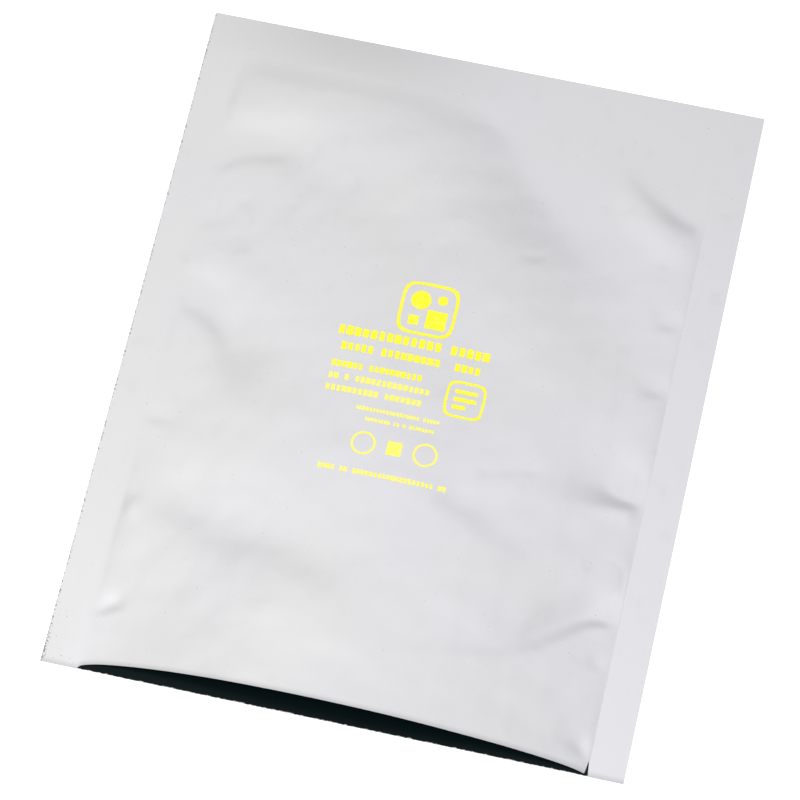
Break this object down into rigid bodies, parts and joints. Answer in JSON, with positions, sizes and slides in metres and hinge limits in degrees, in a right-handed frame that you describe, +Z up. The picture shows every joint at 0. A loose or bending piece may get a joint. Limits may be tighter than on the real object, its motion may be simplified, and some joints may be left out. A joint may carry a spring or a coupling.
{
  "type": "moisture barrier bag",
  "caption": "Flat open bag of silvery foil laminate that keeps parts dry and free of static, with welded seams on both sides and the far end.",
  "frame": {"origin": "under the middle of the bag, on the surface that it lies on", "axes": "+Y along the bag from its open mouth to its closed end, +X across it to the right, +Z up through its front face"},
  "size_m": [0.2032, 0.254, 0.0095],
  "materials": {
    "foil_film": "satin, fine creases and scuffs",
    "yellow_ink": "thin printed ink, slightly mottled"
  },
  "bodies": {
    "root": {"back_film": "foil_film", "front_film": "foil_film"}
  },
  "joints": []
}
